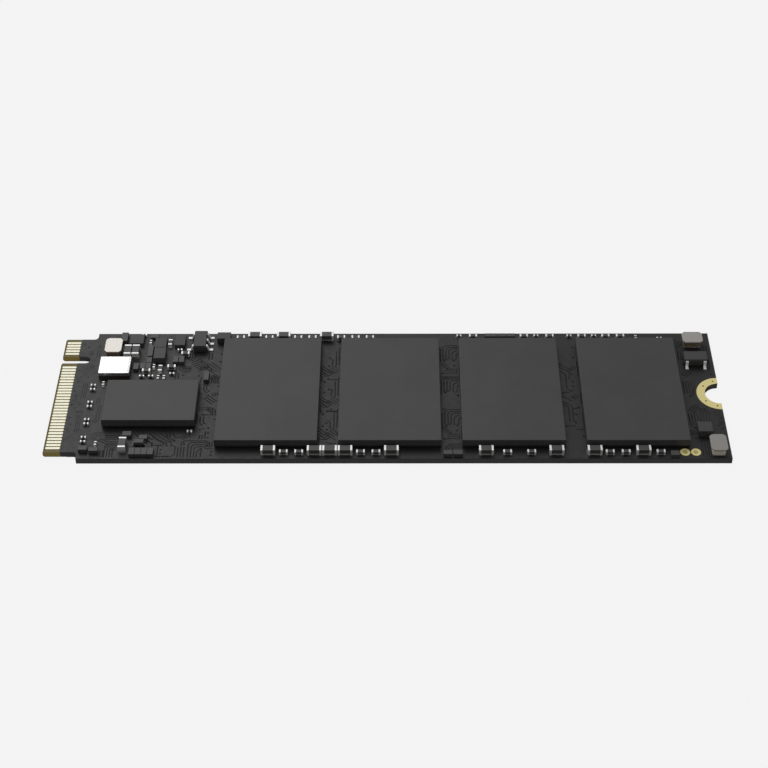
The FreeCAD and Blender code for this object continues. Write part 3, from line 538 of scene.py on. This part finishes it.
def beside(points, distance):
    """The line moved to its right-hand side by a distance, with its corners kept sharp."""
    moved = []
    for i, (x, y) in enumerate(points):
        before = points[max(i - 1, 0)]
        after = points[min(i + 1, len(points) - 1)]
        if i == 0:
            before = (2 * x - after[0], 2 * y - after[1])
        if i == len(points) - 1:
            after = (2 * x - before[0], 2 * y - before[1])
        first = Vector((x - before[0], y - before[1])).normalized()
        second = Vector((after[0] - x, after[1] - y)).normalized()
        side = Vector((first.y + second.y, -first.x - second.x)).normalized()
        reach = distance / max(side.dot(Vector((first.y, -first.x))), 0.5)
        moved.append((x + side.x * reach, y + side.y * reach))
    return moved


def on_top(x, y):
    """True where a trace on the component side may run."""
    half = TONGUE_HALF if x < TONGUE_LENGTH + EDGE_MARGIN else CARD_WIDTH / 2
    if x < CONTACTS_END + EDGE_MARGIN / 2 or x > CARD_LENGTH - EDGE_MARGIN or abs(y) > half - EDGE_MARGIN:
        return False
    if x < KEY_DEPTH + EDGE_MARGIN and KEY_LOW - EDGE_MARGIN < y < KEY_HIGH + EDGE_MARGIN:
        return False
    if math.hypot(x - CARD_LENGTH, y) < LAND_RADIUS + EDGE_MARGIN:
        return False
    return all(math.hypot(x - px, y - py) > radius for px, py, radius in TEST_PAD_ZONES)


def on_underside(x, y):
    return x > UNDER_CONTACTS_END + EDGE_MARGIN and on_top(x, y)


def test_pad_zones():
    """(x, y, radius) in mm round the test pads, from their box: two equal pads side by side."""
    low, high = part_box("test_pads")
    across = high.y - low.y
    zones = []
    for x in (low.x + across / 2, high.x - across / 2):
        zones.append(((x - CARD_LOW.x) / MM, (low.y + high.y) / 2 / MM, across / 2 / MM + PAD_MARGIN))
    return zones


TEST_PAD_ZONES = test_pad_zones()


def allowed_runs(points, allowed):
    """The stretches of a line that lie where a trace may run, each with its corners."""
    runs = []
    run = []
    for a, b in zip(points, points[1:]):
        length = math.dist(a, b)
        steps = max(1, round(length / STEP))
        for i in range(steps):
            t = i / steps
            here = (a[0] + (b[0] - a[0]) * t, a[1] + (b[1] - a[1]) * t)
            if allowed(*here):
                if i == 0 or not run:
                    run.append(here)
                last = here
            elif run:
                runs.append(run + [last])
                run = []
    if run:
        runs.append(run + [points[-1] if allowed(*points[-1]) else last])
    return [r for r in (drop_repeats(r) for r in runs) if len(r) > 1]


def drop_repeats(points):
    kept = points[:1]
    for point in points[1:]:
        if math.dist(point, kept[-1]) > STEP / 2:
            kept.append(point)
    return kept


class Relief:
    """Collects raised traces and via rings on one face of the card, as closed meshes."""

    def __init__(self, level, height, up):
        self.level = level
        self.height = height * MM
        self.up = up
        self.vertices = []
        self.faces = []

    def spot(self, x, y, rise):
        self.vertices.append(card(x, y, self.level + self.up * rise))
        return len(self.vertices) - 1

    def face(self, *corners):
        self.faces.append(corners if self.up > 0 else corners[::-1])

    def trace(self, points):
        """A narrow ridge along a line, with sloping flanks and tapered ends."""
        sink = -SINK * self.height
        offsets = (-RIDGE_HALF, -RIDGE_CREST, RIDGE_CREST, RIDGE_HALF)
        sides = [beside(points, offset) for offset in offsets]
        rows = []
        for places in zip(*sides):
            rises = (sink, self.height, self.height, sink)
            rows.append([self.spot(x, y, rise) for (x, y), rise in zip(places, rises)])
        for a, b in zip(rows, rows[1:]):
            for i in range(3):
                self.face(a[i + 1], b[i + 1], b[i], a[i])
            self.face(a[0], b[0], b[3], a[3])
        self.face(*rows[0])
        self.face(*rows[-1][::-1])

    def via(self, x, y):
        """A low ring with a dimple in the middle."""
        sink = -SINK * self.height
        profile = (
            (VIA_RADIUS, sink),
            (VIA_RADIUS - VIA_SLOPE, self.height),
            (VIA_HOLE + VIA_RIM, self.height),
            (VIA_HOLE, DIMPLE * self.height),
        )
        rings = []
        for radius, rise in profile:
            ring = []
            for i in range(VIA_SIDES):
                turn = 2 * math.pi * i / VIA_SIDES
                ring.append(self.spot(x + radius * math.cos(turn), y + radius * math.sin(turn), rise))
            rings.append(ring)
        for outer, inner in zip(rings, rings[1:]):
            for i in range(VIA_SIDES):
                j = (i + 1) % VIA_SIDES
                self.face(outer[i], outer[j], inner[j], inner[i])
        self.face(*rings[-1])
        self.face(*rings[0][::-1])

    def piece(self, name, finish):
        mesh = bpy.data.meshes.new(name)
        mesh.from_pydata([tuple(v) for v in self.vertices], [], self.faces)
        mesh.update()
        show(name, mesh, finish)


def show(name, mesh, finish):
    """Links a mesh as a piece that rides with the card."""
    obj = bpy.data.objects.new(name, mesh)
    bpy.context.scene.collection.objects.link(obj)
    mesh.materials.append(FINISHES[finish])
    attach(obj, "root")


def bundle_lines(bundles, dx=0.0, dy=0.0):
    """Every line of the bundles, moved by (dx, dy)."""
    for count, pitch, points in bundles:
        for i in range(count):
            yield beside(shifted(points, dx, dy), i * pitch)


def trace_piece(name, finish, relief, allowed, lines):
    for line in lines:
        for run in allowed_runs(line, allowed):
            relief.trace(run)
    relief.piece(name, finish)


def via_piece(name, finish, relief, allowed, places):
    for place in places:
        if allowed(*place):
            relief.via(*place)
    relief.piece(name, finish)


def top_relief():
    trace_piece("top_traces", "shaded_ridge_mask", Relief(TOP, RIDGE_HEIGHT, 1), on_top, bundle_lines(TOP_BUNDLES))
    lines = []
    for shifts, bundles in TOP_REPEATS:
        for dy in shifts:
            lines += bundle_lines(bundles, 0, dy)
    trace_piece("gap_traces", "shaded_ridge_mask", Relief(TOP, GAP_RIDGE_HEIGHT, 1), on_top, lines)
    margin = Relief(TOP, FAINT_RIDGE_HEIGHT, 1)
    trace_piece("margin_traces", "solder_mask", margin, on_top, bundle_lines(MARGIN_BUNDLES))
    via_piece("top_vias", "shaded_ridge_mask", Relief(TOP, RIDGE_HEIGHT, 1), on_top, TOP_VIAS)
    margin_vias = Relief(TOP, FAINT_RIDGE_HEIGHT, 1)
    via_piece("margin_vias", "solder_mask", margin_vias, on_top, MARGIN_VIAS)


def under_relief():
    lines = []
    places = []
    for column in TILE_COLUMNS:
        for row in TILE_ROWS:
            dx = TILE_START[0] + column * TILE[0]
            dy = TILE_START[1] + row * TILE[1]
            lines += bundle_lines(UNDER_BUNDLES, dx, dy)
            places += shifted(UNDER_VIAS, dx, dy)
    traces = Relief(UNDERSIDE, UNDER_RIDGE_HEIGHT, -1)
    trace_piece("under_traces", "shaded_ridge_mask", traces, on_underside, lines)
    vias = Relief(UNDERSIDE, UNDER_RIDGE_HEIGHT, -1)
    via_piece("under_vias", "shaded_ridge_mask", vias, on_underside, places)


# ---------------------------------------------------------------- stage, light and camera

VIEW_AZIMUTH = 0.609
VIEW_ELEVATION = 42.732
VIEW_ROLL = -0.457
VIEW_DISTANCE = 0.2063
VIEW_TARGET = Vector((-0.00032, 0.00171, 0.0008))
LENS = 79.88
SENSOR = 36.0
NEAREST = 1 * MM


def make_camera():
    azimuth, elevation, roll = (math.radians(a) for a in (VIEW_AZIMUTH, VIEW_ELEVATION, VIEW_ROLL))
    back = Vector((
        math.sin(azimuth) * math.cos(elevation),
        -math.cos(azimuth) * math.cos(elevation),
        math.sin(elevation),
    ))
    right = (-back).cross(Vector((0, 0, 1))).normalized()
    up = right.cross(-back)
    tilted_right = math.cos(roll) * right + math.sin(roll) * up
    tilted_up = -math.sin(roll) * right + math.cos(roll) * up
    data = bpy.data.cameras.new("camera")
    data.lens = LENS
    data.sensor_width = SENSOR
    data.clip_start = NEAREST
    camera = bpy.data.objects.new("camera", data)
    bpy.context.scene.collection.objects.link(camera)
    axes = Matrix((tilted_right, tilted_up, back)).transposed()
    camera.matrix_world = Matrix.Translation(VIEW_TARGET + back * VIEW_DISTANCE) @ axes.to_4x4()
    bpy.context.scene.camera = camera


KEY_PLACE = Vector((-0.24, 0.32, 0.38))
KEY_SIZE = (0.56, 0.45)
KEY_POWER = 1.05


def make_light():
    """One large softbox behind the card's left end, aimed at the card's centre."""
    data = bpy.data.lights.new("key", "AREA")
    data.shape = "RECTANGLE"
    data.size, data.size_y = KEY_SIZE
    data.energy = KEY_POWER
    lamp = bpy.data.objects.new("key", data)
    bpy.context.scene.collection.objects.link(lamp)
    lamp.location = KEY_PLACE
    lamp.rotation_euler = (-KEY_PLACE).to_track_quat("-Z", "Y").to_euler()
    lamp.visible_camera = False


FLOOR_TONE = 0.896
FLOOR_GLOW = 0.985
FLOOR_BODY = 0.03
FLOOR_DROP = 0.05 * MM
FLOOR_HALF = 3.0
# The sky's strength rises from LOW_LIGHT to SKY_LIGHT between these heights of the direction's unit vector.
LOW_LIGHT = 0.04
SKY_LIGHT = 0.42
HORIZON_LOW = -0.05
HORIZON_HIGH = 0.3


def make_floor():
    """A pale floor that shines evenly, as on a light table, with a trace of shade under the card."""
    mesh = bpy.data.meshes.new("floor")
    corners = [(-1, -1), (1, -1), (1, 1), (-1, 1)]
    mesh.from_pydata([(x * FLOOR_HALF, y * FLOOR_HALF, -FLOOR_DROP) for x, y in corners], [], [(0, 1, 2, 3)])
    floor = bpy.data.objects.new("floor", mesh)
    bpy.context.scene.collection.objects.link(floor)
    material = bpy.data.materials.new("floor")
    material.use_nodes = True
    shader = material.node_tree.nodes["Principled BSDF"]
    shader.inputs["Base Color"].default_value = (FLOOR_BODY, FLOOR_BODY, FLOOR_BODY, 1)
    shader.inputs["Roughness"].default_value = 1.0
    shader.inputs["Specular IOR Level"].default_value = 0.0
    shader.inputs["Emission Color"].default_value = (FLOOR_TONE, FLOOR_TONE, FLOOR_TONE, 1)
    shader.inputs["Emission Strength"].default_value = FLOOR_GLOW
    mesh.materials.append(material)
    floor.visible_diffuse = False
    floor.visible_glossy = False


def make_world():
    """An even pale backdrop for the camera, and a soft sky, dim near the horizon, for the light."""
    world = bpy.data.worlds.new("world")
    bpy.context.scene.world = world
    world.use_nodes = True
    tree = world.node_tree
    seen = tree.nodes.new("ShaderNodeBackground")
    seen.inputs["Color"].default_value = (FLOOR_TONE, FLOOR_TONE, FLOOR_TONE, 1)
    direction = tree.nodes.new("ShaderNodeTexCoord").outputs["Generated"]
    parts = tree.nodes.new("ShaderNodeSeparateXYZ")
    tree.links.new(direction, parts.inputs[0])
    sky = tree.nodes.new("ShaderNodeMapRange")
    tree.links.new(parts.outputs["Z"], sky.inputs["Value"])
    sky.inputs["From Min"].default_value = HORIZON_LOW
    sky.inputs["From Max"].default_value = HORIZON_HIGH
    sky.inputs["To Min"].default_value = LOW_LIGHT
    sky.inputs["To Max"].default_value = SKY_LIGHT
    lit = tree.nodes["Background"]
    lit.inputs["Color"].default_value = (1, 1, 1, 1)
    tree.links.new(sky.outputs["Result"], lit.inputs["Strength"])
    path = tree.nodes.new("ShaderNodeLightPath")
    choose = tree.nodes.new("ShaderNodeMixShader")
    tree.links.new(path.outputs["Is Camera Ray"], choose.inputs[0])
    tree.links.new(lit.outputs[0], choose.inputs[1])
    tree.links.new(seen.outputs[0], choose.inputs[2])
    tree.links.new(choose.outputs[0], tree.nodes["World Output"].inputs[0])


bpy.context.scene.view_settings.view_transform = "Standard"
make_camera()
make_world()
make_floor()
make_light()
dress_nodes()
top_relief()
under_relief()
